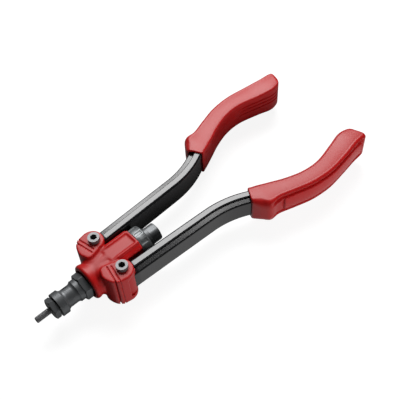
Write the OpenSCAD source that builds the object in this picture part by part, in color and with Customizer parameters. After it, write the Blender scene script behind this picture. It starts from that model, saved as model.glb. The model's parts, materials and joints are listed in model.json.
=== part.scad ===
// Two-handed rivet nut tool, shown with its arms closed.
// +X points out of the nose, +Z up, and the origin is the centre of the nose piece's front face.
// Toothed lever heads turn on two bolts and drive a round rack that carries the nose.
// The threaded mandrel stays in the body: its spindle spins freely, so a knob can unscrew it.

/* [Mandrel] */
// Thread diameter of the mandrel
mandrel_d = 6; // [5:0.5:7]
// Length of mandrel that stands out of the nose
mandrel_reach = 14.4; // [10:0.2:22]
// Length of the mandrel's tapered tip
mandrel_tip = 0.8; // [0.5:0.1:1.5]
// Depth of the mandrel's thread, by which its shank is thinner behind the nose face
thread_depth = 0.4; // [0.3:0.05:0.5]
// Diameter of the mandrel's head
mandrel_head_d = 10; // [9.5:0.1:10.4]
// Length of the mandrel's head
mandrel_head_len = 6; // [4:0.5:7]
// Width across flats of the socket in the mandrel's head
mandrel_socket_af = 5; // [4:0.5:5.5]
// Length of the spindle's key in that socket
key_len = 3; // [2:0.25:3]
// Wall of the screwed holder that keeps the mandrel's head
holder_wall = 1.2; // [1:0.1:1.5]
// Thickness of the holder's lip in front of the head
holder_lip = 2; // [1.5:0.25:2.5]
// Length of spindle inside the holder
holder_grip = 8; // [6:0.5:10]

/* [Nose] */
// Width across flats of the nose piece
nose_af = 17; // [15:0.5:19]
// Length of the nose piece's hexagon
nose_len = 5; // [4:0.5:7]
// Chamfer on the corners of the nose piece, lock nut and knob
hex_chamfer = 0.7; // [0.4:0.1:0.9]
// Diameter of the nose piece's screwed shank
nose_shank_d = 12; // [10:0.5:12.5]
// Length of the nose piece's screwed shank
nose_shank_len = 6; // [5:0.5:8]
// Width of the dark relief groove behind the nose piece
relief_w = 1; // [0.6:0.1:1.6]
// Diameter of the bottom of the relief groove
relief_d = 15; // [13:0.5:16]
// Diameter of the nose housing's front flange
flange_d = 22; // [20:0.5:24]
// Length of the nose housing's front flange
flange_len = 6.4; // [5:0.2:8]
// Wall of the nose housing's waist
waist_wall = 2.1; // [1.6:0.1:2.6]
// Length of the nose housing's waist
waist_len = 13; // [12:0.1:16]
// Radius of the sweep from the waist into each flange
waist_fillet = 3.5; // [3:0.1:3.8]
// Length of the window slots in the waist
slot_len = 6.4; // [5:0.2:6.6]
// Width of the window slots in the waist
slot_w = 3; // [2:0.25:3.5]
// Turn of the window slots about the nose axis
slot_turn = 42; // [0:1:90]
// Diameter of the nose housing's rear shoulder
shoulder_d = 20; // [18.5:0.5:22]
// Length of the nose housing's rear shoulder
shoulder_len = 4.5; // [3.5:0.5:6]
// Wall of the nose housing's screwed shank
shank_wall = 1.5; // [1.2:0.1:1.8]
// Length of shank screwed into the rack sleeve
shank_grip = 7; // [5:0.5:8]
// Width across flats of the lock nut
lock_nut_af = 22; // [21:0.5:24]
// Thickness of the lock nut
lock_nut_len = 6.2; // [5:0.2:7]

/* [Rack and levers] */
// Tooth module of the rack and lever heads
tooth_module = 1.75; // [1.7:0.05:1.8]
// Teeth on a full circle of the lever head
tooth_count = 12; // [12:1:13]
// Pressure angle of the teeth
pressure_angle = 25; // [24:0.5:27]
// Height of the rack's teeth above the pitch line
rack_addendum = 1.5; // [1.3:0.05:1.6]
// Play between meshing teeth along the pitch line
backlash = 0.3; // [0.25:0.05:0.4]
// Width of the lever head's toothed face
tooth_face = 12; // [10:0.5:13]
// Depth of the teeth below the pitch line, in modules
dedendum = 1.25; // [1.2:0.01:1.3]
// Wall of the rack sleeve round the shank
sleeve_wall = 2.5; // [2.2:0.1:3]
// Length of the rack sleeve behind the lever heads
sleeve_tail = 2.5; // [1.5:0.5:4]
// Diameter of the spindle
spindle_d = 10; // [9:0.25:10]
// Angle that each arm opens
open_angle = 40; // [30:1:42]

/* [Pivots] */
// Diameter of the pivot bolt's shoulder
bolt_d = 8; // [7:0.5:8.5]
// Diameter of the pivot bolt's head
bolt_head_d = 10.5; // [10:0.5:12]
// Height of the pivot bolt's head
bolt_head_h = 3.8; // [3:0.2:5]
// Width across flats of the socket in the bolt's head
bolt_socket_af = 5.5; // [4:0.5:6]
// Depth of the socket in the bolt's head
bolt_socket_depth = 4.6; // [2:0.2:5]
// Length of the bolt that stands out of its nut
bolt_tail = 0.5; // [0.3:0.1:1]
// Diameter of the bolt's threaded end
bolt_thread_d = 6; // [5:0.5:6.5]
// Wall of the bronze pivot bush
pivot_bush_wall = 1.6; // [1.2:0.1:2]
// Width across flats of the pivot nut
pivot_nut_af = 10; // [9:0.5:12]
// Thickness of the pivot nut
pivot_nut_h = 3.6; // [3:0.2:5]
// Diameter of the washer under the nut
pivot_washer_d = 12; // [11:0.5:14]
// Thickness of the washer under the nut
pivot_washer_t = 1; // [0.8:0.1:1.6]

/* [Body casting] */
// Wall round the cup that takes the lock nut
neck_wall = 1.8; // [1.5:0.1:2.4]
// Height of the rounded rim round the cup's mouth
rim_h = 1.9; // [1.2:0.1:2.4]
// Width of the rounded rim
rim_w = 5; // [3:0.2:6]
// Growth of the barrel's radius from neck to middle
barrel_flare = 0.6; // [0:0.1:1]
// Length of the front guide
guide_len = 7; // [6:0.5:9]
// Wall of the bronze guide bush
guide_wall = 1.4; // [1:0.1:1.8]
// Height of the lobes that carry the pivots
lobe_h = 36; // [35:0.5:40]
// Radius of the lobe behind the pivot
lobe_r = 10.6; // [10.2:0.1:11.5]
// Corner radius at each lobe's front
lobe_corner_r = 4.7; // [4:0.1:5.5]
// Distance in front of the pivot at which the lever pocket's side opens
pocket_open = 2.5; // [2:0.1:3]
// Forward slant of the grooves across each lobe
groove_slant = 12; // [8:0.5:18]
// Depth of the grooves across each lobe
groove_depth = 0.9; // [0.5:0.1:1.2]
// Width of the grooves across each lobe
groove_w = 1; // [0.8:0.1:1.4]
// Length of the body behind the pivots
tail_len = 27.2; // [26:0.2:30]
// Width of the rear block
block_w = 25.6; // [25:0.2:26.4]
// Height of the rear block
block_h = 28.8; // [28:0.2:30]
// Corner radius of the rear block
block_r = 4; // [2:0.5:5]
// Width of the raised panel on the rear block
panel_w = 18; // [15:0.5:18]
// Height of the raised panel's rim above the barrel
panel_rise = 1.1; // [0.8:0.1:1.5]
// Width of the raised panel's rim
panel_rim = 2.4; // [1.8:0.1:3]
// Corner radius of the raised panel
panel_r = 1; // [0.5:0.1:1.2]
// Reach of the raised panel in front of the pivots
panel_reach = 2; // [1:0.5:4]

/* [Rear end] */
// Diameter of the rear collar
collar_d = 30; // [29:0.5:30.4]
// Length of the rear collar
collar_len = 10; // [9:0.5:12]
// Number of grip flutes round the collar
flute_count = 10; // [8:1:12]
// Diameter of each flute
flute_d = 9; // [7:0.5:12]
// Depth of each flute
flute_depth = 0.7; // [0.4:0.1:0.9]
// Plain land at either end of the flutes
collar_land = 1.5; // [1:0.25:2]
// Thickness of the collar's rear wall
collar_wall = 2; // [1.6:0.1:2.6]
// Diameter of the screwed spigot inside the collar
spigot_d = 24; // [23:0.5:25]
// Length of the screwed spigot inside the collar
spigot_len = 4; // [3.5:0.5:5]
// Length of the bronze spindle bush
spindle_bush_len = 6; // [5:0.5:7]
// Thickness of the thrust washer
thrust_t = 1.5; // [1.2:0.1:1.8]
// Diameter of the thrust washer and the spindle's flange
thrust_d = 19; // [17:0.5:21]
// Diameter of the ring in front of the knob
ring_d = 18.7; // [17:0.5:20]
// Length of the ring in front of the knob
ring_len = 4.5; // [3.5:0.5:6]
// Width across flats of the knob
knob_af = 13; // [12:0.5:15]
// Length of the knob
knob_len = 9; // [8:0.5:12]
// Thickness of the knob's closed end
knob_wall = 2; // [1.5:0.25:3]
// Diameter of the spindle's tail inside the knob
tail_d = 8; // [7:0.5:8.5]
// Diameter of the pin that ties the knob to the spindle
knob_pin_d = 2.5; // [2:0.25:3]
// Depth that the pin's ends lie below the knob's flats
knob_pin_sink = 0.5; // [0.3:0.1:0.8]

/* [Arms] */
// Height of the arm's inner channel
arm_h = 24.5; // [23:0.5:25]
// Width of the arm over both channels
arm_w = 13; // [12:0.25:13.25]
// Sheet thickness of the channels
sheet_t = 2; // [1.6:0.1:2.2]
// Outer radius of the channels' bends
sheet_r = 2.6; // [2.4:0.1:3]
// Flange width of the inner channel
flange_w = 7.3; // [6.5:0.1:8]
// Distance from the pivot to the start of the channels
arm_start = 8.5; // [8.4:0.1:10]
// Offset of the arm's middle outward from the pivot
arm_offset = 2.2; // [1.9:0.1:2.6]
// Splay of the closed arm from the tool's axis
arm_splay = 2.55; // [2:0.05:4]
// Length of the arm's straight stretch
arm_straight = 84.5; // [70:0.5:110]
// Radius of the arm's outward bend
bend_r = 92; // [80:1:110]
// Angle of the arm's outward bend
bend_angle = 28; // [22:1:30]
// Radius of the return bend inside the grip
return_r = 160; // [150:1:200]
// Angle of the return bend inside the grip
return_angle = 11; // [8:1:11]
// Outer radius of the shield that closes the lever pocket's side
shield_r = 9.8; // [9.4:0.1:10]
// Start and end of the shield round the pivot
shield_span = [50, 150]; // [40:1:160]
// Length of the lever head's tongue inside the channels
tongue_len = 24; // [16:1:40]

/* [Grips] */
// Height of the grip at its mouth
grip_mouth_h = 28.6; // [28:0.2:32]
// Height of the grip at its middle
grip_mid_h = 27.6; // [27.4:0.2:30]
// Height of the grip at its end
grip_end_h = 31.5; // [28:0.5:34]
// Height that the palm pad stands proud
pad_proud = 0.8; // [0.4:0.1:1.2]
// Depth that the palm pad is let into the grip
pad_depth = 2.2; // [1.6:0.1:2.4]
// Height of the palm pad
pad_h = 17; // [14:0.5:18]

/* [Clearances] */
// Gap between pieces that move past each other
run_gap = 0.3; // [0.25:0.05:0.4]
// Radial clearance of shafts and slides in their bushes
fit_gap = 0.05; // [0.03:0.01:0.08]
// Clearance between pieces that are fixed together
seat_gap = 0.02; // [0.01:0.01:0.03]

/* [Hidden] */
$fn = 64;
eps = 0.01;
far = 400;
SIDES = ["left", "right"];

// Diameters that follow from the mandrel outwards
holder_bore_d = max(mandrel_head_d, spindle_d) + 2 * seat_gap;
holder_d = holder_bore_d + 2 * holder_wall;
housing_bore_d = holder_d + 2 * run_gap;
waist_d = housing_bore_d + 2 * waist_wall;
shank_d = housing_bore_d + 2 * shank_wall;
sleeve_d = shank_d + 2 * (sleeve_wall + seat_gap);
sleeve_bore_d = spindle_d + 2 * run_gap;
guide_bush_d = sleeve_d + 2 * (fit_gap + guide_wall);
cup_d = lock_nut_af / cos(30) + 4 * run_gap;
neck_r = cup_d / 2 + neck_wall;
rim_r = neck_r + rim_h;
barrel_r = neck_r + barrel_flare;

// Gear geometry
pitch_r = tooth_module * tooth_count / 2;
pitch_y = sleeve_d / 2 - rack_addendum;
pivot_y = pitch_y + pitch_r;
gear_tip_r = pitch_r + tooth_module;
gear_root_r = pitch_r - dedendum * tooth_module;
base_r = pitch_r * cos(pressure_angle);
rack_pitch = PI * tooth_module;
rack_root_r = pitch_y - dedendum * tooth_module;
stroke = pitch_r * open_angle * PI / 180;
gap_first = -1;
gap_last = ceil(stroke / rack_pitch);
tooth_sink = 0.5;
flank_steps = 6;

// Stations along the tool's axis, from the nose backwards
nose_back = -nose_len;
flange_front = nose_back - relief_w;
flange_back = flange_front - flange_len;
shoulder_front = flange_back - waist_len;
shoulder_back = shoulder_front - shoulder_len;
sleeve_front = shoulder_back - lock_nut_len;
shank_back = sleeve_front - shank_grip;
rim_front = sleeve_front - 2 * run_gap;
cup_floor = sleeve_front - stroke - 2 * run_gap;
guide_back = cup_floor - guide_len;
pivot_x = guide_back - gear_tip_r - 2 * run_gap;
window_back = pivot_x - gear_tip_r - 2 * run_gap;
sleeve_back = window_back - sleeve_tail;
body_back = pivot_x - tail_len;
spigot_back = body_back - spigot_len;
collar_back = body_back - collar_len;
ring_front = collar_back - run_gap;
ring_back = ring_front - ring_len;
knob_back = ring_back - knob_len;
tail_back = knob_back + knob_wall;
knob_pin_x = (ring_back + knob_back) / 2;
thrust_front = spigot_back - run_gap;
thrust_back = thrust_front - thrust_t;
spindle_flange_back = collar_back + collar_wall + run_gap;
holder_front = nose_back - relief_w - nose_shank_len - stroke - 2 * run_gap;
head_front = holder_front - holder_lip;
head_back = head_front - mandrel_head_len;
holder_back = head_back - holder_grip;

// Lobe outline and groove places relative to the pivot
lobe_rear = [2, 0.9];
lobe_outer = [8.8, 5.6];
lobe_inner = [12, -7.9];
groove_start = [6.1, -7.8];
groove_step = [3.2, -2];

// Heights of the lobe plates
plate_z = arm_h / 2 + 1.5 * run_gap;
hub_h = 2 * (plate_z - run_gap);
panel_top = barrel_r + panel_rise;
bolt_end = lobe_h / 2 + pivot_washer_t + pivot_nut_h + bolt_tail;

// Arm section
outer_channel_h = arm_h - 2 * sheet_t - 2 * seat_gap;
tongue_w = arm_w - 2 * sheet_t - 2 * seat_gap;
tongue_h = outer_channel_h - 2 * sheet_t - 2 * seat_gap;

// Grip edges in the frame of the outward bend's end: distance along the arm, then offset outward
grip_inner_edge = [[-3, -8.3], [1, -8.6], [5, -8.9], [17, -9.7], [34, -11.2], [52, -15.6], [69, -25],
                   [86, -40.6], [97, -50.8], [105, -54.8], [112, -55.8], [117.5, -54.4]];
grip_outer_edge = [[-3, 8.5], [6, 13.4], [14, 15.4], [23, 9.8], [40, 5.8], [59, 0.8], [79, -8.8],
                   [98, -23], [112, -34.6], [121.6, -41.2], [124.6, -45], [124, -48.6]];
grip_half_h = [grip_mouth_h, grip_mouth_h, grip_mouth_h, grip_mid_h, grip_mid_h, grip_mid_h, grip_mid_h,
               grip_mid_h, grip_end_h, grip_end_h, 0.95 * grip_end_h, 0.78 * grip_end_h] / 2;
socket_power = 0.15;
inner_power = 0.34;
mouth_power = 0.36;
palm_power = 0.5;
grip_rings = 33;
ring_points = 20;
pad_first = 10;
pad_last = 28;
pad_depths = [seat_gap, seat_gap + 0.55 * pad_depth, pad_depth + 0.6 * pad_proud, pad_depth + pad_proud];
pad_heights = [pad_h, pad_h, 0.84 * pad_h, 0.5 * pad_h] / 2;
bend_steps = 9;
return_steps = 4;
arc_steps = 3;

// Cylinder along the tool's axis between two stations
module axial(front, back, d) {
    translate([back, 0, 0]) rotate([0, 90, 0]) cylinder(d = d, h = front - back);
}

// Hexagonal bar along the tool's axis, with its corners chamfered front and back
module axial_hex(front, back, af) {
    corner_d = af / cos(30);
    intersection() {
        translate([back, 0, 0]) rotate([0, 90, 0]) cylinder(d = corner_d, h = front - back, $fn = 6);
        union() {
            axial(front - hex_chamfer, back + hex_chamfer, corner_d);
            translate([front - hex_chamfer, 0, 0]) rotate([0, 90, 0])
                cylinder(d1 = corner_d, d2 = corner_d - 4 * hex_chamfer, h = hex_chamfer);
            translate([back, 0, 0]) rotate([0, 90, 0])
                cylinder(d1 = corner_d - 4 * hex_chamfer, d2 = corner_d, h = hex_chamfer);
        }
    }
}

// Profile drawn as radius and station, turned about the tool's axis
module turned() {
    rotate([0, 90, 0]) rotate_extrude() children();
}

// Copies of a piece on both sides of the tool
module both_sides() {
    children();
    mirror([0, 1, 0]) children();
}

// The left arm's shape as it is, and the right arm's as its mirror image
module on_side(side) {
    mirror([0, side == "left" ? 0 : 1, 0]) children();
}

module at_pivot() {
    translate([pivot_x, pivot_y, 0]) children();
}

// Rectangle with true round corners, from its lower left corner
module rounded_rect(w, h, r) {
    translate([r, 0]) square([w - 2 * r, h]);
    translate([0, r]) square([w, h - 2 * r]);
    for (x = [r, w - r], y = [r, h - r]) translate([x, y]) circle(r);
}

// Direction, square to the line that touches two circles, from their middles to that line
function touch(a, b) = let (
    d = norm(b[0] - a[0]),
    u = (b[0] - a[0]) / d,
    lean = (a[1] - b[1]) / d)
    lean * u + sqrt(1 - lean * lean) * [u[1], -u[0]];

// Outline round circles that are given as centre and radius, in counterclockwise order
module round_outline(circles) {
    for (c = circles) translate(c[0]) circle(c[1]);
    polygon([for (i = [0 : len(circles) - 1]) let (
        a = circles[i],
        b = circles[(i + 1) % len(circles)],
        n = touch(a, b))
        each [a[0] + a[1] * n, b[0] + b[1] * n]]);
}

// Plan outline of one lobe relative to its pivot, drawn smaller by an inset
module lobe_outline(inset = 0) {
    round_outline([[lobe_rear, lobe_r - inset],
                   [lobe_inner, lobe_corner_r - inset],
                   [lobe_outer, lobe_corner_r - inset]]);
}

// Plan of one groove across the lobe, from a distance along it
module groove_strip(i, from) {
    translate(groove_start + i * groove_step) rotate(90 - groove_slant)
        translate([from, -groove_w / 2]) square([far, groove_w]);
}

// Two grooves that cross the lobe's top and bottom and run down its outer wall
module lobe_grooves() {
    for (i = [0, 1]) {
        for (top = [0, 1]) mirror([0, 0, top])
            translate([0, 0, lobe_h / 2 - groove_depth]) linear_extrude(lobe_h) groove_strip(i, 0);
        linear_extrude(2 * lobe_h, center = true) difference() {
            groove_strip(i, lobe_r);
            lobe_outline(groove_depth);
        }
    }
}

module neck_profile() {
    bead = rim_w / 2;
    translate([0, rim_front - rim_w]) square([rim_r - bead, rim_w]);
    translate([rim_r - bead, rim_front - bead]) circle(bead);
}

// Half of a cylinder about the pivot, on the inner or the outer side
module half_round(r, h, way) {
    intersection() {
        cylinder(r = r, h = h, center = true);
        translate([-far / 2, way > 0 ? 0 : -far, -far / 2]) cube(far);
    }
}

// Space for the lever head and the arm through their whole swing
module lever_pocket() {
    at_pivot() {
        cylinder(r = gear_root_r + 2 * run_gap, h = 2 * plate_z, center = true);
        half_round(gear_tip_r + 2 * run_gap, tooth_face + 4 * run_gap, -1);
        half_round(shield_r + 2 * run_gap, 2 * plate_z, 1);
        translate([pocket_open - far, arm_offset - arm_w / 2 - 2 * run_gap, -plate_z]) cube([far, far, 2 * plate_z]);
    }
}

module body_casting() {
    color("firebrick") difference() {
        union() {
            turned() neck_profile();
            translate([pivot_x, 0, 0]) rotate([0, 90, 0])
                cylinder(r1 = barrel_r, r2 = neck_r, h = rim_front - rim_w / 2 - pivot_x);
            translate([body_back, -block_w / 2, -block_h / 2]) rotate([90, 0, 90])
                linear_extrude(tail_len) rounded_rect(block_w, block_h, block_r);
            translate([body_back, -panel_w / 2, -panel_top]) rotate([90, 0, 90])
                linear_extrude(tail_len + panel_reach) rounded_rect(panel_w, 2 * panel_top, panel_r);
            both_sides() at_pivot() linear_extrude(lobe_h, center = true) lobe_outline();
            axial(body_back, spigot_back, spigot_d);
        }
        axial(rim_front + eps, cup_floor, cup_d);
        axial(cup_floor + eps, guide_back, guide_bush_d + 2 * seat_gap);
        axial(guide_back + eps, spigot_back - eps, sleeve_d + 2 * fit_gap);
        both_sides() lever_pocket();
        both_sides() at_pivot() cylinder(d = bolt_d + 2 * seat_gap, h = far, center = true);
        both_sides() at_pivot() lobe_grooves();
        for (top = [0, 1]) mirror([0, 0, top])
            translate([body_back + panel_rim, panel_rim - panel_w / 2, barrel_r])
                cube([tail_len, panel_w - 2 * panel_rim, panel_rise + eps]);
    }
}

module guide_bush() {
    color("darkgoldenrod") difference() {
        axial(cup_floor, guide_back, guide_bush_d);
        axial(cup_floor + eps, guide_back - eps, sleeve_d + 2 * fit_gap);
    }
}

module pivot_bolts() {
    color("silver") both_sides() at_pivot() difference() {
        union() {
            translate([0, 0, -lobe_h / 2]) cylinder(d = bolt_d, h = lobe_h);
            translate([0, 0, lobe_h / 2]) cylinder(d = bolt_head_d, h = bolt_head_h);
            translate([0, 0, -bolt_end]) cylinder(d = bolt_thread_d, h = bolt_end);
        }
        translate([0, 0, lobe_h / 2 + bolt_head_h - bolt_socket_depth])
            cylinder(d = bolt_socket_af / cos(30), h = bolt_socket_depth + eps, $fn = 6);
    }
}

module pivot_washers() {
    color("gainsboro") both_sides() at_pivot() translate([0, 0, -lobe_h / 2 - pivot_washer_t]) difference() {
        cylinder(d = pivot_washer_d, h = pivot_washer_t);
        translate([0, 0, -eps]) cylinder(d = bolt_thread_d + 2 * seat_gap, h = pivot_washer_t + 2 * eps);
    }
}

module pivot_nuts() {
    color("silver") both_sides() at_pivot()
        translate([0, 0, -lobe_h / 2 - pivot_washer_t - pivot_nut_h]) difference() {
            cylinder(d = pivot_nut_af / cos(30), h = pivot_nut_h, $fn = 6);
            translate([0, 0, -eps]) cylinder(d = bolt_thread_d + 2 * seat_gap, h = pivot_nut_h + 2 * eps);
        }
}

module rear_collar() {
    flute_turn = 360 / flute_count;
    color("darkgray") difference() {
        axial(body_back, collar_back, collar_d);
        axial(body_back + eps, collar_back + collar_wall, spigot_d + 2 * seat_gap);
        axial(body_back, collar_back - eps, spindle_d + 2 * run_gap);
        for (i = [0 : flute_count - 1]) rotate([i * flute_turn, 0, 0])
            translate([collar_back + collar_land, 0, (collar_d + flute_d) / 2 - flute_depth])
                rotate([0, 90, 0]) cylinder(d = flute_d, h = collar_len - 2 * collar_land);
    }
}

module spindle_bush() {
    color("darkgoldenrod") difference() {
        axial(spigot_back + spindle_bush_len, spigot_back, sleeve_d + 2 * fit_gap - 2 * seat_gap);
        axial(spigot_back + spindle_bush_len + eps, spigot_back - eps, spindle_d + 2 * fit_gap);
    }
}

// Outline of the rack's annular tooth gaps, one of which faces the pivot at rest
module rack_profile() {
    slant = tan(pressure_angle);
    crest = rack_pitch / 4 + rack_addendum * slant;
    root = rack_pitch / 4 - (pitch_y - rack_root_r) * slant;
    gap = [[sleeve_d / 2, -crest], [rack_root_r, -root], [rack_root_r, root], [sleeve_d / 2, crest]];
    polygon(concat(
        [[sleeve_bore_d / 2, sleeve_back], [sleeve_d / 2, sleeve_back]],
        [for (k = [gap_first : gap_last], p = gap) p + [0, pivot_x + k * rack_pitch]],
        [[sleeve_d / 2, sleeve_front], [sleeve_bore_d / 2, sleeve_front]]));
}

module rack_sleeve() {
    color("slategray") difference() {
        turned() rack_profile();
        axial(sleeve_front + eps, shank_back - run_gap, shank_d + 2 * seat_gap);
    }
}

module lock_nut() {
    color("dimgray") difference() {
        axial_hex(shoulder_back, sleeve_front, lock_nut_af);
        axial(shoulder_back + eps, sleeve_front - eps, shank_d + 2 * seat_gap);
    }
}

// Outer outline of the nose housing, with a swept waist
module housing_profile() {
    translate([0, shank_back]) square([shank_d / 2, flange_front - shank_back]);
    translate([0, shoulder_back]) square([waist_d / 2, flange_front - shoulder_back]);
    translate([0, flange_back]) square([flange_d / 2, flange_len]);
    translate([0, shoulder_back]) square([shoulder_d / 2, shoulder_len]);
    waist_sweep(flange_back, flange_d / 2, -1);
    waist_sweep(shoulder_front, shoulder_d / 2, 1);
}

// Concave sweep from the waist up to a larger radius that starts at one station
module waist_sweep(station, top_r, way) {
    rise = top_r - waist_d / 2;
    run = sqrt(2 * waist_fillet * rise - rise * rise);
    translate([waist_d / 2, station]) mirror([0, way < 0 ? 1 : 0]) difference() {
        translate([-eps, -eps]) square([rise, run]);
        translate([waist_fillet + eps, run]) circle(waist_fillet);
    }
}

module nose_housing() {
    slot_front = (flange_back + shoulder_front + slot_len) / 2;
    color("dimgray") difference() {
        turned() housing_profile();
        axial(flange_front + eps, shank_back - eps, nose_shank_d + 2 * seat_gap);
        axial(flange_front - nose_shank_len, shank_back - eps, housing_bore_d);
        rotate([slot_turn, 0, 0]) translate([slot_front - slot_len, -slot_w / 2, -flange_d])
            linear_extrude(2 * flange_d) rounded_rect(slot_len, slot_w, slot_w / 2 - eps);
    }
}

module nose_piece() {
    color("dimgray") difference() {
        union() {
            axial_hex(0, nose_back, nose_af);
            axial(nose_back + eps, flange_front, relief_d);
            axial(nose_back, flange_front - nose_shank_len, nose_shank_d);
        }
        axial(eps, flange_front - nose_shank_len - eps, mandrel_d + 2 * run_gap);
    }
}

module mandrel() {
    color("gray") difference() {
        union() {
            axial(mandrel_reach - mandrel_tip, 0, mandrel_d);
            axial(eps, head_front - eps, mandrel_d - 2 * thread_depth);
            translate([mandrel_reach - mandrel_tip, 0, 0]) rotate([0, 90, 0])
                cylinder(d1 = mandrel_d, d2 = mandrel_d - 2 * mandrel_tip, h = mandrel_tip);
            axial(head_front, head_back, mandrel_head_d);
        }
        translate([head_back - eps, 0, 0]) rotate([0, 90, 0])
            cylinder(d = mandrel_socket_af / cos(30), h = key_len + run_gap, $fn = 6);
    }
}

module mandrel_holder() {
    color("slategray") difference() {
        axial(holder_front, holder_back, holder_d);
        axial(head_front, holder_back - eps, holder_bore_d);
        axial(holder_front + eps, head_front - eps, mandrel_d + 2 * seat_gap);
    }
}

module spindle() {
    color("lightslategray") difference() {
        union() {
            axial(head_back, ring_front, spindle_d);
            axial(ring_front + eps, tail_back, tail_d);
            axial(thrust_back, spindle_flange_back, thrust_d);
            translate([head_back, 0, 0]) rotate([0, 90, 0])
                cylinder(d = mandrel_socket_af / cos(30) - 4 * seat_gap, h = key_len, $fn = 6);
        }
        translate([knob_pin_x, 0, 0])
            cylinder(d = knob_pin_d + 2 * seat_gap, h = far, center = true);
    }
}

module thrust_washer() {
    color("gainsboro") difference() {
        axial(thrust_front, thrust_back, thrust_d);
        axial(thrust_front + eps, thrust_back - eps, spindle_d + 2 * seat_gap);
    }
}

module knob_ring() {
    color("dimgray") difference() {
        axial(ring_front, ring_back, ring_d);
        axial(ring_front + eps, ring_back - eps, tail_d + 2 * seat_gap);
    }
}

module knob() {
    color("dimgray") difference() {
        axial_hex(ring_back, knob_back, knob_af);
        axial(ring_back + eps, tail_back - seat_gap, tail_d + 2 * seat_gap);
        translate([knob_pin_x, 0, 0])
            cylinder(d = knob_pin_d + 2 * seat_gap, h = far, center = true);
    }
}

module knob_pin() {
    color("silver") translate([knob_pin_x, 0, 0])
        cylinder(d = knob_pin_d, h = knob_af - 2 * knob_pin_sink, center = true);
}

// Involute angle, in degrees, at a radius outside the base circle
function involute(r) = let (a = acos(base_r / r)) tan(a) * 180 / PI - a;

function polar(r, a) = r * [cos(a), sin(a)];

// One tooth of the lever head, pointing along +X
function tooth_points() = let (
    half = 90 / tooth_count - backlash / 2 / pitch_r * 180 / PI + involute(pitch_r),
    radii = [for (i = [0 : flank_steps]) base_r + (gear_tip_r - base_r) * i / flank_steps],
    flank = [for (r = radii) polar(r, involute(r) - half)])
    concat([polar(gear_root_r - tooth_sink, -half)], flank,
           [for (p = reversed(flank)) [p[0], -p[1]]], [polar(gear_root_r - tooth_sink, half)]);

// The lever head's tongue in the arm, drawn larger by a gap
module tongue(gap) {
    at_arm_start() translate([-arm_start, -tongue_w / 2 - gap, -tongue_h / 2 - gap])
        cube([arm_start + tongue_len, tongue_w + 2 * gap, tongue_h + 2 * gap]);
}

module lever_head() {
    color("darkslategray") difference() {
        union() {
            at_pivot() {
                cylinder(r = gear_root_r, h = hub_h, center = true);
                for (k = [gap_first : gap_last]) rotate([0, 0, k * 360 / tooth_count - 90])
                    linear_extrude(tooth_face, center = true) polygon(tooth_points());
            }
            tongue(0);
        }
        at_pivot() cylinder(d = bolt_d + 2 * (fit_gap + pivot_bush_wall + seat_gap), h = far, center = true);
    }
}

// Curved plate on the lever head that keeps dirt and fingers out of the teeth
module dust_shield() {
    color("firebrick") difference() {
        at_pivot() rotate([0, 0, shield_span[0]]) translate([0, 0, -hub_h / 2])
            rotate_extrude(angle = shield_span[1] - shield_span[0])
                translate([gear_root_r + seat_gap, 0]) square([shield_r - gear_root_r - seat_gap, hub_h]);
        tongue(seat_gap);
    }
}

module pivot_bush() {
    color("darkgoldenrod") at_pivot() difference() {
        cylinder(d = bolt_d + 2 * (fit_gap + pivot_bush_wall), h = hub_h, center = true);
        cylinder(d = bolt_d + 2 * fit_gap, h = far, center = true);
    }
}

// Frame at the start of the channels: X along the arm, Y inward
module at_arm_start() {
    at_pivot() translate([-arm_start, arm_offset, 0]) rotate([0, 0, 180 - arm_splay]) children();
}

// Frame at the end of the arm's outward bend
module at_bend_end() {
    at_arm_start() translate([arm_straight, -bend_r, 0]) rotate([0, 0, -bend_angle])
        translate([0, bend_r, 0]) children();
}

// Places along the arm's middle line in the frame of the bend's end: x, y and turn
function bend_pose(turn) = [-bend_r * sin(turn), bend_r * (cos(turn) - 1), turn];
function return_pose(turn) = [return_r * sin(turn), return_r * (1 - cos(turn)), turn];
function start_pose() = bend_pose(bend_angle) - arm_straight * [cos(bend_angle), sin(bend_angle), 0];
function arm_poses() = concat(
    [start_pose()],
    [for (i = [0 : bend_steps]) bend_pose(bend_angle * (1 - i / bend_steps))],
    [for (i = [1 : return_steps]) return_pose(return_angle * i / return_steps)]);

// Section points, given as offset outward and height, set square to the arm at one place
function arm_ring(section, pose) = [for (p = section)
    [pose[0] + p[0] * sin(pose[2]), pose[1] - p[0] * cos(pose[2]), p[1]]];

function arc(centre, r, from, to) = [for (i = [0 : arc_steps])
    centre + polar(r, from + (to - from) * i / arc_steps)];

// Outline of a pressed channel with its web at zero and its flanges towards +X
function channel_section(h, w) = let (
    low = [sheet_r, sheet_r - h / 2],
    high = [sheet_r, h / 2 - sheet_r])
    concat([[w, -h / 2]], arc(low, sheet_r, 270, 180), arc(high, sheet_r, 180, 90),
           [[w, h / 2], [w, h / 2 - sheet_t]], arc(high, sheet_r - sheet_t, 90, 180),
           arc(low, sheet_r - sheet_t, 180, 270), [[w, sheet_t - h / 2]]);

function reversed(list) = [for (i = [len(list) - 1 : -1 : 0]) list[i]];

module inner_channel() {
    section = [for (p = channel_section(arm_h, flange_w)) [p[0] - arm_w / 2, p[1]]];
    color("black") at_bend_end() skin([for (pose = arm_poses()) arm_ring(reversed(section), pose)]);
}

module outer_channel() {
    section = [for (p = channel_section(outer_channel_h, arm_w - sheet_t - run_gap)) [arm_w / 2 - p[0], p[1]]];
    color("black") at_bend_end() skin([for (pose = arm_poses()) arm_ring(section, pose)]);
}

// Smooth curve through a list of points, for s from 0 to 1
function curve(points, s) = let (
    n = len(points) - 1,
    k = min(floor(s * n), n - 1),
    t = s * n - k,
    a = points[max(k - 1, 0)], b = points[k], c = points[k + 1], d = points[min(k + 2, n)])
    b + (c - a) * t / 2 + (2 * a - 5 * b + 4 * c - d) * t * t / 2 + (3 * b - a - 3 * c + d) * t * t * t / 2;

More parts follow.
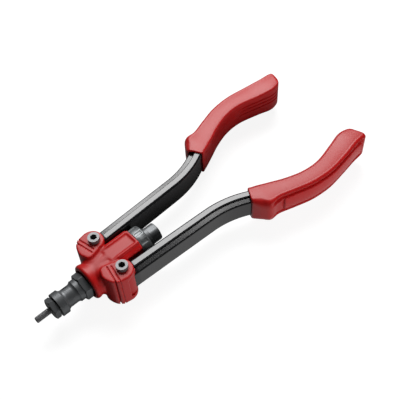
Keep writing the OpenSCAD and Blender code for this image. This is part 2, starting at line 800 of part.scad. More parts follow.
// Sine or cosine drawn out towards a square
function squared(v, power) = sign(v) * pow(abs(v), power);

function ring_angle(j) = 360 * (j + 0.5) / ring_points;

// One section of the socket that takes the arm's end
function socket_section() = [for (j = [0 : ring_points - 1]) let (q = ring_angle(j))
    [(arm_w / 2 + fit_gap) * squared(cos(q), socket_power),
     (arm_h / 2 + fit_gap) * squared(sin(q), socket_power)]];

// One section of the grip: crisp towards the other arm, rounder towards the palm, flat under the pad
function grip_ring(i) = let (
    s = i / grip_rings,
    inner = curve(grip_inner_edge, s),
    outer = curve(grip_outer_edge, s),
    half = curve(grip_half_h, s),
    flat = i >= pad_first && i <= pad_last ? 1 - 2 * pad_depth / norm(outer - inner) : 1)
    [for (j = [0 : ring_points - 1]) let (
        q = ring_angle(j),
        power = cos(q) < 0 ? inner_power : (i < pad_first ? mouth_power : palm_power),
        p = (inner + outer) / 2 + (outer - inner) / 2 * min(squared(cos(q), power), flat))
        [p[0], -p[1], half * squared(sin(q), power)]];

// Solid skinned over a list of rings, whose ends close in strips between points j and m - 1 - j
module skin(rings) {
    m = len(rings[0]);
    n = len(rings);
    last = (n - 1) * m;
    polyhedron(
        points = [for (ring = rings) each ring],
        faces = concat(
            [for (j = [0 : m / 2 - 2]) [m - 1 - j, m - 2 - j, j + 1, j]],
            [for (i = [0 : n - 2], j = [0 : m - 1])
                each [[i * m + j, (i + 1) * m + (j + 1) % m, (i + 1) * m + j],
                      [i * m + j, i * m + (j + 1) % m, (i + 1) * m + (j + 1) % m]]],
            [for (j = [0 : m / 2 - 2]) [last + j, last + j + 1, last + m - 2 - j, last + m - 1 - j]]));
}

// One section of the palm pad on the grip's flat outer side
function pad_ring(i) = let (
    s = i / grip_rings,
    inner = curve(grip_inner_edge, s),
    outer = curve(grip_outer_edge, s),
    out = (outer - inner) / norm(outer - inner),
    low = [for (k = [0 : 3]) concat(outer + (pad_depths[k] - pad_depth) * out, [-pad_heights[k]])],
    high = [for (p = reversed(low)) [p[0], p[1], -p[2]]])
    [for (p = concat(low, high)) [p[0], -p[1], p[2]]];

// The grip is skinned from the bottom of its socket out to the mouth and then over its outside
module grip() {
    mouth_turn = asin(-grip_inner_edge[0][0] / bend_r);
    poses = concat([for (i = [return_steps : -1 : 1]) return_pose((return_angle + 0.1) * i / return_steps)],
                   [bend_pose(0), bend_pose(mouth_turn)]);
    color("firebrick") at_bend_end() skin(concat(
        [for (pose = poses) arm_ring(socket_section(), pose)],
        [for (i = [0 : grip_rings]) grip_ring(i)]));
}

module palm_pad() {
    color("indianred") at_bend_end() skin([for (i = [pad_first : pad_last]) pad_ring(i)]);
}

body_casting();
guide_bush();
pivot_bolts();
pivot_washers();
pivot_nuts();
rear_collar();
spindle_bush();
rack_sleeve();
lock_nut();
nose_housing();
nose_piece();
mandrel();
mandrel_holder();
spindle();
thrust_washer();
knob_ring();
knob();
knob_pin();
for (side = SIDES) {
    on_side(side) lever_head();
    on_side(side) dust_shield();
    on_side(side) pivot_bush();
    on_side(side) inner_channel();
    on_side(side) outer_channel();
    on_side(side) grip();
    on_side(side) palm_pad();
}
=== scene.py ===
# %% [markdown]
# # A two-handed rivet nut tool, dressed for a studio photo
# The CAD frame gives every sub-part its place. This lesson gives the frame its looks: the camera, a
# rounded casting, pressed arms, moulded grips, a real thread, paint, plating and light.
# Lengths are in millimetres here, and `MM` turns them into Blender's metres.

# %% Imports and units
import json
import math

import bmesh
import bpy
import numpy as np
from mathutils import Matrix, Vector

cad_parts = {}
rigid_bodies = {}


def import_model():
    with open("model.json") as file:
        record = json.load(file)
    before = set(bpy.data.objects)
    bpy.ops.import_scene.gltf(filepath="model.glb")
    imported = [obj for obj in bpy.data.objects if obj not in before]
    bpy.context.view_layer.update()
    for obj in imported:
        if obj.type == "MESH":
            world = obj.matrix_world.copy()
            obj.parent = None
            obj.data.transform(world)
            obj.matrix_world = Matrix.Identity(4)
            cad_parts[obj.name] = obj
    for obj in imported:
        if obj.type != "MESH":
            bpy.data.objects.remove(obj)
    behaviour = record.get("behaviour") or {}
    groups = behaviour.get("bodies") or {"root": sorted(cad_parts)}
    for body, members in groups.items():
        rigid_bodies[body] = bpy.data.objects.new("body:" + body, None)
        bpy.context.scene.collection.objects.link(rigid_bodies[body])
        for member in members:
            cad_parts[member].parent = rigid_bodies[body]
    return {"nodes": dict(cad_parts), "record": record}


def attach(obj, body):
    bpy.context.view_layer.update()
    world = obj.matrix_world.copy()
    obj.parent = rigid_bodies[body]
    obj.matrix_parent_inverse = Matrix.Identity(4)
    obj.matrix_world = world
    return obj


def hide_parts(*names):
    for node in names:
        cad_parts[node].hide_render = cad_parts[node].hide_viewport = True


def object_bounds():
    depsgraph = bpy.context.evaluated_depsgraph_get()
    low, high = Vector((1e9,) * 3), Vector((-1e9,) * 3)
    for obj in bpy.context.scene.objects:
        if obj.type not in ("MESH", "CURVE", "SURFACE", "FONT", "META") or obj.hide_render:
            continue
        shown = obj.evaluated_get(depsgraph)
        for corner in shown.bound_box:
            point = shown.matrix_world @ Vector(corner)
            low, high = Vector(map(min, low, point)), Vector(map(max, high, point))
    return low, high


MM = 0.001
FULL_TURN = 2 * np.pi

# %% [markdown]
# ## The frame
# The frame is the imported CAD: one mesh per sub-part, each on its moving body.

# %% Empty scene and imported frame
for block in list(bpy.data.objects):
    bpy.data.objects.remove(block)
scene = bpy.context.scene
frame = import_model()
nodes = frame["nodes"]
cad_low, cad_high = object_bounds()
print("frame:", len(nodes), "nodes, size in mm", [round(x / MM, 1) for x in cad_high - cad_low])

# %% [markdown]
# ## Camera
# The photo was taken from the front left, about 52 degrees above the table, with a slight roll. A
# camera can be aimed with a Track To constraint, but that has no roll. Here its three axes are worked
# out and written into the matrix, because the angles were found by matching bolts, nose and outline.

# %% The photo's camera
CAMERA_AZIMUTH, CAMERA_ELEVATION, CAMERA_ROLL = 140.44, 51.58, -3.93
CAMERA_DISTANCE, CAMERA_TARGET = 632.7, (-167.41, 1.58, 0.0)
SENSOR, FOCAL_SHARE = 36, 683.2 / 400

def photo_camera():
    """A camera that sees the tool as the photo does."""
    a, e, roll = (math.radians(x) for x in (CAMERA_AZIMUTH, CAMERA_ELEVATION, CAMERA_ROLL))
    back = Vector((math.sin(a) * math.cos(e), -math.cos(a) * math.cos(e), math.sin(e)))
    level = Vector((math.cos(a), math.sin(a), 0))
    rise = back.cross(level)
    right = math.cos(roll) * level + math.sin(roll) * rise
    up = math.cos(roll) * rise - math.sin(roll) * level
    data = bpy.data.cameras.new("photo_camera")
    data.sensor_width = SENSOR
    data.lens = SENSOR * FOCAL_SHARE
    data.clip_start, data.clip_end = 0.05, 20
    camera = bpy.data.objects.new("photo_camera", data)
    place = (Vector(CAMERA_TARGET) + CAMERA_DISTANCE * back) * MM
    turn = Matrix((right, up, back)).transposed().to_4x4()
    camera.matrix_world = Matrix.Translation(place) @ turn
    scene.collection.objects.link(camera)
    scene.camera = camera

photo_camera()
print("camera lens:", round(scene.camera.data.lens, 1), "mm")

# %% [markdown]
# ## Surface grain
# Paint, moulded plastic and blackened steel all have a fine grain that breaks up their highlights. It
# could be built into each material. As a node group with a scale and a strength it is made once, and
# every finish that needs it sets its own values.

# %% The grain group
def grain_group():
    """Node group that turns noise into a bump normal of a given scale and strength."""
    group = bpy.data.node_groups.new("surface_grain", "ShaderNodeTree")
    for name, default in (("Scale", 900.0), ("Strength", 0.1)):
        socket = group.interface.new_socket(name, in_out="INPUT", socket_type="NodeSocketFloat")
        socket.default_value = default
    group.interface.new_socket("Normal", in_out="OUTPUT", socket_type="NodeSocketVector")
    n, link = group.nodes, group.links.new
    inp, out = n.new("NodeGroupInput"), n.new("NodeGroupOutput")
    coords, noise = n.new("ShaderNodeTexCoord"), n.new("ShaderNodeTexNoise")
    bump = n.new("ShaderNodeBump")
    noise.inputs["Detail"].default_value = 3
    bump.inputs["Distance"].default_value = 0.0004
    link(coords.outputs["Object"], noise.inputs["Vector"])
    link(inp.outputs["Scale"], noise.inputs["Scale"])
    link(noise.outputs["Fac"], bump.inputs["Height"])
    link(inp.outputs["Strength"], bump.inputs["Strength"])
    link(bump.outputs["Normal"], out.inputs["Normal"])
    return group

GRAIN = grain_group()
print("grain group:", [socket.name for socket in GRAIN.interface.items_tree])

# %% [markdown]
# ## Finishes
# The body is sprayed red, the grips are red plastic, the arms are glossy black paint, and the turned
# parts are blackened or zinc-plated steel. Image textures could carry them, but each is one even
# colour, so a Principled shader with a few numbers is enough and stays sharp at any distance.

# %% One finish
def finish(name, colour, metallic=0.0, roughness=0.4, specular=0.5, grain=None):
    """A material with one colour and, where asked, the shared surface grain."""
    material = bpy.data.materials.new(name)
    material.use_nodes = True
    tree = material.node_tree
    shader = tree.nodes["Principled BSDF"]
    shader.inputs["Base Color"].default_value = (*colour, 1)
    shader.inputs["Metallic"].default_value = metallic
    shader.inputs["Roughness"].default_value = roughness
    shader.inputs["Specular IOR Level"].default_value = specular
    if grain:
        node = tree.nodes.new("ShaderNodeGroup")
        node.node_tree = GRAIN
        node.inputs["Scale"].default_value, node.inputs["Strength"].default_value = grain
        tree.links.new(node.outputs["Normal"], shader.inputs["Normal"])
    return material

# %% All finishes
SPRAYED, MOULDED, BLACKENED = (1200, 0.08), (1500, 0.2), (1500, 0.05)
FINISHES = {
    "red_paint": finish("red_paint", (0.46, 0.009, 0.009), 0, 0.40, 0.32, SPRAYED),
    "red_grip": finish("red_grip", (0.44, 0.009, 0.009), 0, 0.42, 0.45, MOULDED),
    "red_pad": finish("red_pad", (0.50, 0.011, 0.011), 0, 0.42, 0.45, MOULDED),
    "black_paint": finish("black_paint", (0.010, 0.010, 0.011), 0, 0.18, 0.62),
    "black_steel": finish("black_steel", (0.125, 0.13, 0.135), 0.6, 0.45, 0.5, BLACKENED),
    "zinc_steel": finish("zinc_steel", (0.2, 0.21, 0.215), 0.7, 0.46),
    "bright_steel": finish("bright_steel", (0.22, 0.22, 0.22), 0.9, 0.4),
    "tool_steel": finish("tool_steel", (0.15, 0.15, 0.155), 1.0, 0.35),
    "thread_steel": finish("thread_steel", (0.26, 0.26, 0.265), 0.6, 0.4),
    "bolt_steel": finish("bolt_steel", (0.2, 0.2, 0.205), 0.6, 0.5),
    "bronze": finish("bronze", (0.42, 0.26, 0.11), 1.0, 0.4),
}
print("finishes:", ", ".join(FINISHES))

# %% [markdown]
# ## CAD pieces that are shown as they are
# Nuts, washers, bushes and turned steel are sharp-edged, but a real edge is broken and catches light.
# They could be modelled again. Modifiers on the CAD mesh do it without touching its points: a weld
# closes the seams, a small bevel breaks the edges, and weighted normals keep the flats flat.

# %% Helpers for pieces
SMOOTH_ANGLE = math.radians(38)
SEAM = 0.002 * MM
FINISH_OF = {"pivot_bolts": "bolt_steel", "mandrel": "thread_steel"}

def finish_of(node, slot):
    """The finish that a node shows: its slot's own, unless it has a special one."""
    return FINISHES[FINISH_OF.get(node, slot)]

def add_object(name, mesh, material, body, *replaced):
    """A new piece that rides on a body and stands for CAD nodes."""
    obj = bpy.data.objects.new(name, mesh)
    scene.collection.objects.link(obj)
    mesh.materials.clear()
    mesh.materials.append(finish_of(replaced[0], material))
    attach(obj, body)
    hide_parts(*replaced)
    return obj

def smooth_shading(obj):
    """Smooth shading that keeps the sharper edges."""
    obj.data.polygons.foreach_set("use_smooth", [True] * len(obj.data.polygons))
    with bpy.context.temp_override(object=obj, active_object=obj, selected_objects=[obj],
                                   selected_editable_objects=[obj]):
        bpy.ops.object.shade_auto_smooth(angle=SMOOTH_ANGLE)

def weld_seams(obj):
    """Joins the points along the seams between CAD faces."""
    weld = obj.modifiers.new("weld", "WELD")
    weld.merge_threshold = SEAM

# %% Edges and finishes on the CAD pieces
EDGE_WIDTH = 0.22
PLAIN_EDGES = ("channel", "grip", "pad", "collar")

for part in frame["record"]["subparts"]:
    obj = nodes[part["node"]]
    obj.data.materials.clear()
    obj.data.materials.append(finish_of(part["node"], part["material_slot"]))
    weld_seams(obj)
    if not any(word in part["node"] for word in PLAIN_EDGES):
        bevel = obj.modifiers.new("edges", "BEVEL")
        bevel.width, bevel.segments = EDGE_WIDTH * MM, 2
        bevel.limit_method, bevel.angle_limit = "ANGLE", SMOOTH_ANGLE
    smooth_shading(obj)
    weighted = obj.modifiers.new("flat_faces", "WEIGHTED_NORMAL")
    weighted.keep_sharp = True

# %% [markdown]
# ## Skins over rings
# Most of the remodelled pieces are long and change their section as they go. They could be curves with
# a bevel object, but then the section stays the same. A grid skinned over rings of points lets every
# ring differ, and numpy makes the rings quickly.

# %% A mesh from rings
def grid_mesh(name, rings, closed_ends=True):
    """A mesh from a list of rings, each an array of points in millimetres."""
    rings = np.asarray(rings)
    n, m = rings.shape[:2]
    i, j = np.meshgrid(np.arange(n - 1), np.arange(m), indexing="ij")
    k = (j + 1) % m
    quads = np.stack([i * m + j, i * m + k, (i + 1) * m + k, (i + 1) * m + j], -1).reshape(-1, 4)
    ends = [list(range(m))[::-1], list(range((n - 1) * m, n * m))] if closed_ends else []
    mesh = bpy.data.meshes.new(name)
    mesh.from_pydata((rings.reshape(-1, 3) * MM).tolist(), [], quads.tolist() + ends)
    work = bmesh.new()
    work.from_mesh(mesh)
    bmesh.ops.recalc_face_normals(work, faces=work.faces)
    work.to_mesh(mesh)
    work.free()
    return mesh

def smooth_piece(name, rings, material, body, *replaced):
    """A piece skinned over rings and shaded smooth throughout."""
    mesh = grid_mesh(name, rings)
    mesh.polygons.foreach_set("use_smooth", [True] * len(mesh.polygons))
    print(name + ":", len(mesh.polygons), "faces")
    return add_object(name, mesh, material, body, *replaced)

# %% [markdown]
# ## Forms that fill the casting's corners
# A casting has a generous fillet wherever two walls meet, and its lobes have a full, curved front.
# Bevels on the CAD edges would be too narrow and would break at the grooves. Simple wedges, a flared
# ring and a filled flank are laid over the CAD body instead, and the next step melts them together.

# %% Sizes of the casting
PIVOT = np.array([-63.88, 19.54])
LOBE_HALF_H = 18.0
LOBE_REAR, LOBE_REAR_R = (2.0, 0.9), 10.6
LOBE_INNER, LOBE_INNER_R = (12.0, -7.9), 4.7
FLANK_RUN, FLANK_STEPS = (-0.23, 0.97), (1.0, 2.0, 3.0)
REAR_TURN, FRONT_TURN = (240, 255, 4), (255, 374, 24)
FLANK = [(16.6, -8.0), (17.6, -6.6), (18.2, -4.4), (18.1, -1.8), (17.3, 1.6), (16.0, 4.8), (14.9, 6.5),
         (14.0, 7.3), (13.4, 7.3), (13.1, 5.4), (13.0, 2.0), (14.0, -4.0), (14.6, -7.2)]
NECK_R, GUSSET_REACH, GUSSET_TOP = 15.3, 5.0, 15.8
RIM_FLARE = [(-51, -0.3), (-46, 0.2), (-42.5, 0.9), (-39.5, 1.7), (-39.5, -1), (-51, -1), (-51, -0.3)]
GUSSET_SINK, GUSSET_PROUD, POCKET_ROOF, POCKET_STEPS = 0.6, 0.1, 12.95, 20

# %% The path of the fillet round a lobe
def lobe_path():
    """Points and outward directions along the inner and front sides of a lobe, from its pivot."""
    rear, front = np.radians(np.linspace(*REAR_TURN)), np.radians(np.linspace(*FRONT_TURN))
    turn = np.concatenate([rear, front, np.full(len(FLANK_STEPS), front[-1])])
    out = np.stack([np.cos(turn), np.sin(turn)], 1)
    ahead = len(turn) - len(rear)
    centre = np.concatenate([np.tile(LOBE_REAR, (len(rear), 1)), np.tile(LOBE_INNER, (ahead, 1))])
    radius = np.concatenate([np.full(len(rear), LOBE_REAR_R), np.full(ahead, LOBE_INNER_R)])
    path = centre + radius[:, None] * out
    path[-len(FLANK_STEPS):] += np.outer(FLANK_STEPS, FLANK_RUN)
    return path, out

# %% The wedges, the flank and the flared ring
def gusset(side, top):
    """A wedge that fills the corner between a lobe and the barrel."""
    path, out = lobe_path()
    foot = path + GUSSET_REACH * out
    on_barrel = np.sqrt(np.maximum(NECK_R**2 - (foot[:, 1] + PIVOT[1])**2, 0))
    under = np.sqrt(np.maximum(NECK_R**2 - (path[:, 1] + PIVOT[1])**2, 0)) - GUSSET_SINK
    over_pocket = np.arange(len(path)) < POCKET_STEPS
    low = np.where(over_pocket, np.maximum(under, POCKET_ROOF), under)
    rings = []
    for i in range(len(path)):
        inside = path[i] - out[i]
        ring = [(inside, GUSSET_TOP), (path[i], GUSSET_TOP), (foot[i], on_barrel[i] + GUSSET_PROUD),
                (foot[i], on_barrel[i] - GUSSET_SINK), (path[i], low[i]), (inside, low[i])]
        rings.append([(p[0] + PIVOT[0], side * (p[1] + PIVOT[1]), top * z) for p, z in ring])
    return grid_mesh("gusset", rings)

def flank_fill(side):
    """The full front flank of a lobe, in front of its grooves."""
    x, y = (np.array(FLANK) + PIVOT).T
    levels = (-LOBE_HALF_H, LOBE_HALF_H)
    return grid_mesh("flank_fill", [np.stack([x, side * y, np.full(len(x), z)], 1) for z in levels])

def rim_flare():
    """A ring that leads the barrel into the front rim."""
    turn = np.linspace(0, FULL_TURN, 96, endpoint=False)
    rings = [np.stack([np.full(len(turn), x), (NECK_R + rise) * np.cos(turn),
                       (NECK_R + rise) * np.sin(turn)], 1) for x, rise in RIM_FLARE]
    return grid_mesh("rim_flare", rings, closed_ends=False)

# %% [markdown]
# ## What stays crisp in the casting
# Bores, pockets and the two grooves on each lobe are machined or pressed sharp, while the skin is
# soft. Vertex groups painted by hand would say which is which. Here a few distances from the axis and
# the pivots do, so that the answer is the same on every run.

# %% Where the skin may soften
BORE_R, BOLT_SEAT_R = 13.6, 5.6
POCKET_R, POCKET_HALF_H = 9.6, 13.2
WINDOW_R, WINDOW_HALF_H = 13.4, 7.2
GROOVE_START, GROOVE_STEP = np.array([6.1, -7.8]), np.array([3.2, -2.0])
GROOVE_SLANT, GROOVE_HALF_W, GROOVE_LEAD, GROOVE_SOFTNESS = 12, 1.0, -0.8, 0.2

def cast_hold(points):
    """One where the casting's skin may soften, near zero in bores, pockets and grooves."""
    x, y, z = points.T
    local = np.stack([x - PIVOT[0], np.abs(y) - PIVOT[1]], 1)
    reach = np.hypot(*local.T)
    free = np.ones(len(points))
    free[np.hypot(y, z) < BORE_R] = 0
    free[(reach < POCKET_R) & (np.abs(z) < POCKET_HALF_H)] = 0
    free[(reach < WINDOW_R) & (np.abs(z) < WINDOW_HALF_H) & (local[:, 1] < 0)] = 0
    free[reach < BOLT_SEAT_R] = 0
    slant = math.radians(90 - GROOVE_SLANT)
    across = np.array([-math.sin(slant), math.cos(slant)])
    along = np.array([math.cos(slant), math.sin(slant)])
    for i in (0, 1):
        offset = local - GROOVE_START - i * GROOVE_STEP
        near = (np.abs(offset @ across) < GROOVE_HALF_W) & (offset @ along > GROOVE_LEAD)
        free[near] = np.minimum(free[near], GROOVE_SOFTNESS)
    return free

# %% [markdown]
# ## The casting
# The body is a light-alloy casting under paint, without one sharp outer edge. Subdivision would need a
# clean cage. A voxel remesh turns the CAD body and its fillers into one even skin, and a few rounds of
# averaging with the neighbours melt the corners, which is what the sand mould does too.

# %% The soft copy of the body
CAST_VOXEL, CAST_ROUNDS, CAST_SHARE = 0.3, 60, 0.5
BARREL_R, PANEL_FRONT, PANEL_FADE, PANEL_HALF_W = 15.7, -61.9, 7.0, 9.6

def relax(points, edges, hold, rounds):
    """Moves each point towards the middle of its neighbours, less so where it is held."""
    count = np.bincount(edges.ravel(), minlength=len(points))[:, None]
    ends = ((edges[:, 0], edges[:, 1]), (edges[:, 1], edges[:, 0]))
    for _ in range(rounds):
        total = np.stack([sum(np.bincount(here, points[there, axis], len(points)) for here, there in ends)
                          for axis in range(3)], 1)
        points = points + CAST_SHARE * hold[:, None] * (total / np.maximum(count, 1) - points)
    return points

def fade_panel(points):
    """The panel's raised rim, sloped down into the barrel at its front end."""
    x, y, z = points.T
    rise = np.clip(np.abs(z) - BARREL_R, 0, None) * (np.abs(y) < PANEL_HALF_W) * (x < PANEL_FRONT + 0.5)
    share = np.clip((PANEL_FRONT - x) / PANEL_FADE, 0, 1)
    return np.stack([x, y, z - np.sign(z) * rise * (1 - share)], 1)

def voxel_skin(meshes):
    """One even skin round several meshes."""
    joined = bpy.data.meshes.new("cast_source")
    work = bmesh.new()
    for mesh in meshes:
        work.from_mesh(mesh)
    work.to_mesh(joined)
    work.free()
    source = bpy.data.objects.new("cast_source", joined)
    scene.collection.objects.link(source)
    weld_seams(source)
    remesh = source.modifiers.new("voxels", "REMESH")
    remesh.mode, remesh.voxel_size = "VOXEL", CAST_VOXEL * MM
    graph = bpy.context.evaluated_depsgraph_get()
    skin = bpy.data.meshes.new_from_object(source.evaluated_get(graph))
    bpy.data.objects.remove(source)
    return skin

def cast_body():
    """A softened copy of the CAD casting, with its inner corners filled."""
    fillers = [gusset(side, top) for side in (1, -1) for top in (1, -1)]
    fillers += [rim_flare(), flank_fill(1), flank_fill(-1)]
    mesh = voxel_skin([nodes["body_casting"].data] + fillers)
    flat = np.empty(len(mesh.vertices) * 3, np.float32)
    mesh.vertices.foreach_get("co", flat)
    points = flat.reshape(-1, 3).astype(float) / MM
    edges = np.empty(len(mesh.edges) * 2, np.int32)
    mesh.edges.foreach_get("vertices", edges)
    soft = relax(fade_panel(points), edges.reshape(-1, 2), cast_hold(points), CAST_ROUNDS)
    mesh.vertices.foreach_set("co", (soft * MM).astype(np.float32).ravel())
    mesh.update()
    mesh.polygons.foreach_set("use_smooth", [True] * len(mesh.polygons))
    print("cast_body:", len(mesh.polygons), "faces, moved by up to",
          round(float(np.abs(soft - points).max()), 2), "mm")
    add_object("cast_body", mesh, "red_paint", "tool_body", "body_casting")

cast_body()

# %% [markdown]
# ## The mandrel's thread
# The mandrel is a steel screw that the rivet nut is screwed on to. A Screw modifier could sweep the
# thread's profile, but its ends are hard to close. A grid is wrapped round the axis instead, and each
# point's radius follows a helical ridge that fades into a chamfer at the tip.

# %% The threaded mandrel
MANDREL_D, MANDREL_REACH, MANDREL_BACK = 6.0, 14.4, -27.0
THREAD_PITCH, THREAD_DEPTH, THREAD_BACK, TIP_CHAMFER = 1.0, 0.55, -4.0, 0.8
RIDGE_SLOPE, RIDGE_FLAT = 2.6, 0.15

def threaded_mandrel():
    """The mandrel with a helical thread on the part that stands out of the nose."""
    threaded = np.arange(THREAD_BACK, MANDREL_REACH, THREAD_PITCH / 10)
    x = np.concatenate([[MANDREL_BACK], threaded, [MANDREL_REACH]])
    turn = np.linspace(0, FULL_TURN, 48, endpoint=False)
    phase = (x[:, None] / THREAD_PITCH - turn / FULL_TURN) % 1
    ridge = np.clip(np.abs(phase - 0.5) * RIDGE_SLOPE - RIDGE_FLAT, 0, 1)
    radius = MANDREL_D / 2 - THREAD_DEPTH * ridge
    tip = np.clip((MANDREL_REACH - x) / TIP_CHAMFER, 0, 1)[:, None]
    radius = np.minimum(radius, MANDREL_D / 2 - TIP_CHAMFER * (1 - tip))
    ahead = np.broadcast_to(x[:, None], radius.shape)
    rings = np.stack([ahead, radius * np.cos(turn), radius * np.sin(turn)], -1)
    mesh = grid_mesh("threaded_mandrel", rings)
    smooth_shading(add_object("threaded_mandrel", mesh, "black_steel", "spindle_unit", "mandrel"))
    print("threaded_mandrel:", round((MANDREL_REACH - THREAD_BACK) / THREAD_PITCH), "turns")

threaded_mandrel()

# %% [markdown]
# ## The arms' path
# Each arm runs straight from its pivot, bends outward and curves back inside its grip. A Bezier curve
# could be drawn for it, but the CAD path is made of true arcs. The same lengths and angles are used
# here, in a frame at the bend's end: distance along the arm, offset outward and height.

# %% From the arm's frame to the tool's
ARM_START, ARM_OFFSET, ARM_SPLAY, ARM_STRAIGHT = 8.5, 2.2, math.radians(2.55), 84.5
BEND_R, BEND_ANGLE, RETURN_R, RETURN_ANGLE = 92.0, math.radians(28), 160.0, math.radians(11)
SIDES = (("left", 1), ("right", -1))

def set_on_arm(points, side):
    """Points from the frame at the bend's end, set on the left or the right arm."""
    along = np.array([-math.cos(ARM_SPLAY), math.sin(ARM_SPLAY)])
    outward = np.array([math.sin(ARM_SPLAY), math.cos(ARM_SPLAY)])
    centre = PIVOT + [-ARM_START, ARM_OFFSET] + ARM_STRAIGHT * along + BEND_R * outward
    turned_along = math.cos(BEND_ANGLE) * along + math.sin(BEND_ANGLE) * outward
    turned_out = math.cos(BEND_ANGLE) * outward - math.sin(BEND_ANGLE) * along
    plan = centre + points[..., :1] * turned_along + (points[..., 1:2] - BEND_R) * turned_out
    return np.concatenate([plan[..., :1], side * plan[..., 1:], points[..., 2:]], -1)

# %% Places along the arm
ARM_LEAD = 3.9

def arm_stations():
    """Places along the arm's middle line: distance along, offset outward and turn."""
    bend_end = (-BEND_R * math.sin(BEND_ANGLE), BEND_R * (1 - math.cos(BEND_ANGLE)))
    straight = [(bend_end[0] - d * math.cos(BEND_ANGLE), bend_end[1] + d * math.sin(BEND_ANGLE), BEND_ANGLE)
                for d in np.linspace(ARM_STRAIGHT + ARM_LEAD, 0, 14)]
    bend = [(-BEND_R * math.sin(t), BEND_R * (1 - math.cos(t)), t)
            for t in np.linspace(BEND_ANGLE, 0, 26)[1:]]
    inside = [(RETURN_R * math.sin(t), RETURN_R * (math.cos(t) - 1), t)
              for t in np.linspace(0, RETURN_ANGLE, 8)[1:]]
    return straight + bend + inside

def arm_rings(profile):
    """The profile, given as offset outward and height, repeated square to the arm."""
    offset, height = np.asarray(profile).T
    return np.array([np.stack([u + offset * math.sin(t), v + offset * math.cos(t), height], 1)
                     for u, v, t in arm_stations()])

# %% [markdown]
# ## Pressed channels
# Each arm is two channels of pressed sheet, one inside the other, with the round corners that pressing
# leaves. A bevel modifier gives round corners but lets the shading leak into the flats. Here the
# profile itself has arcs, with a support point on each flat beside them, so the long reflection along
# the arm stays steady.

# %% Rounded profiles
ARC_STEPS, SUPPORT = 7, 0.25

def rounded(corners):
    """A closed profile whose corners, given as x, y and radius, are drawn as arcs."""
    path = []
    for i, (x, y, r) in enumerate(corners):
        here = np.array([x, y])
        before, after = (np.array(corners[(i + k) % len(corners)][:2]) - here for k in (-1, 1))
        before, after = before / np.linalg.norm(before), after / np.linalg.norm(after)
        half = math.acos(np.clip(before @ after, -1, 1)) / 2
        reach = r / math.tan(half)
        middle = (before + after) / np.linalg.norm(before + after) * r / math.sin(half)
        start, end = reach * before - middle, reach * after - middle
        path.append(here + (reach + SUPPORT) * before)
        for k in range(ARC_STEPS + 1):
            blend = (1 - k / ARC_STEPS) * start + k / ARC_STEPS * end
            path.append(here + middle + r * blend / np.linalg.norm(blend))
        path.append(here + (reach + SUPPORT) * after)
    return np.array(path)

# %% The four channels
INNER_CHANNEL = [(0.8, 12.25, 0.95), (-6.5, 12.25, 2.4), (-6.5, -12.25, 2.4), (0.8, -12.25, 0.95),
                 (0.8, -10.25, 0.3), (-4.5, -10.25, 0.5), (-4.5, 10.25, 0.5), (0.8, 10.25, 0.3)]
OUTER_CHANNEL = [(-4, 10.2, 0.3), (0.8, 10.2, 0.5), (6.5, 9.3, 1.5), (6.5, -9.3, 1.5),
                 (0.8, -10.2, 0.5), (-4, -10.2, 0.3), (-4, -8.2, 0.3), (4.5, -7.6, 0.5),
                 (4.5, 7.6, 0.5), (-4, 8.2, 0.3)]

for side, sign in SIDES:
    for word, corners in (("inner", INNER_CHANNEL), ("outer", OUTER_CHANNEL)):
        rings = set_on_arm(arm_rings(rounded(corners)), sign)
        smooth_piece(f"{side}_{word}_pressing", rings, "black_paint", f"{side}_arm",
                     f"{side}_{word}_channel")

# %% [markdown]
# ## The knob
# The knob at the rear spins the spindle. It is a turned hexagon with well-rounded corners, and a cross
# pin lies flush in two of its flats. A cylinder with a bevel would lose the flats, so the hexagon is
# drawn with the same rounded profile as the channels and skinned over five rings for the chamfers.

# %% The knob and its pin
KNOB_FRONT, KNOB_BACK, KNOB_CORNER_R, KNOB_ROUND = -105.9, -115.6, 9.7, 5.6
KNOB_ENDS = [(KNOB_FRONT, 0.96), (KNOB_FRONT - 0.3, 1), (KNOB_BACK + 0.9, 1), (KNOB_BACK + 0.25, 0.96),
             (KNOB_BACK, 0.88)]
PIN_X, PIN_R, PIN_PROUD = -110.38, 1.25, 0.02

def turned_knob():
    """The hexagonal knob, with both ends chamfered."""
    corners = np.radians(np.arange(0, 360, 60))
    hexagon = rounded([(KNOB_CORNER_R * math.cos(t), KNOB_CORNER_R * math.sin(t), KNOB_ROUND)
                       for t in corners])
    rings = [np.column_stack([np.full(len(hexagon), x), share * hexagon]) for x, share in KNOB_ENDS]
    mesh = grid_mesh("turned_knob", rings)
    smooth_shading(add_object("turned_knob", mesh, "black_steel", "spindle_unit", "knob"))
    print("turned_knob:", KNOB_FRONT - KNOB_BACK, "mm long")

def flush_pin():
    """The pin across the knob, level with the flats."""
    turn = np.linspace(0, FULL_TURN, 32, endpoint=False)
    x, y = PIN_X + PIN_R * np.cos(turn), PIN_R * np.sin(turn)
    half = KNOB_CORNER_R * math.cos(math.pi / 6) + PIN_PROUD
    mesh = grid_mesh("flush_pin", [np.stack([x, y, np.full(len(x), z)], 1) for z in (-half, half)])
    smooth_shading(add_object("flush_pin", mesh, "black_steel", "spindle_unit", "knob_pin"))

turned_knob()
flush_pin()

# %% [markdown]
# ## The grips' curves
# Each grip is a plastic sleeve that narrows behind a guard and swells to a lip at its end. Sculpting
# could give the form, but not twice the same. Two edge curves and a height, all through a few measured
# points, carry the whole form, and short easing functions fade its details in and out.

